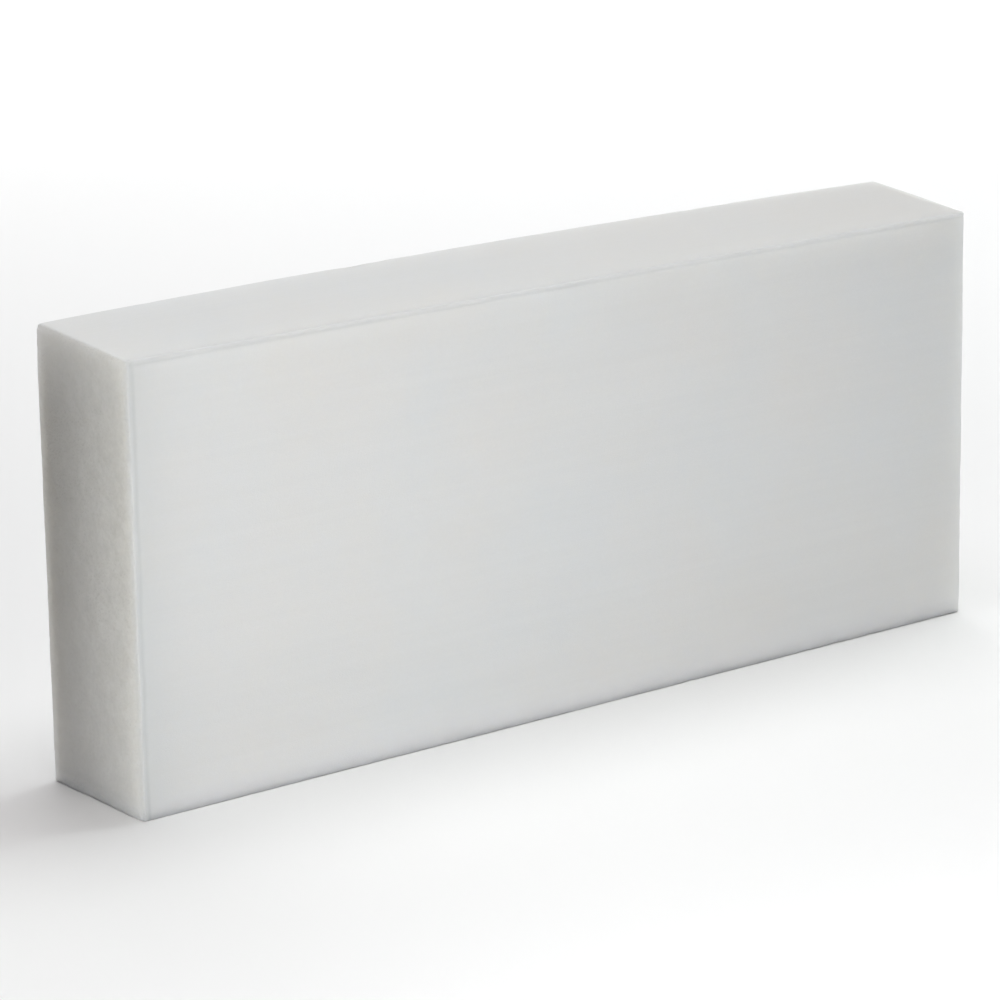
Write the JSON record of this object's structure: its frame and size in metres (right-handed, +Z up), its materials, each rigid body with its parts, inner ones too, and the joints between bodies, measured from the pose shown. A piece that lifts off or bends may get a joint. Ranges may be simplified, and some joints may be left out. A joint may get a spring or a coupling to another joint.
{
  "type": "floral foam brick",
  "caption": "Slim rectangular brick of white cut foam, softly eased along its edges, into which stems, picks and wires are pushed; it stands on a long side or lies flat.",
  "frame": {"origin": "middle of the long narrow side that the brick stands on", "axes": "+X along the length, +Y from the front broad face to the back broad face (through the thickness), +Z up along the height"},
  "size_m": [0.23, 0.035, 0.1],
  "materials": {
    "white_foam": "dry matt cut foam: very fine open cells on the broad faces, coarser torn cells on the two ends"
  },
  "bodies": {
    "root": {"foam_block": "white_foam"}
  },
  "joints": []
}
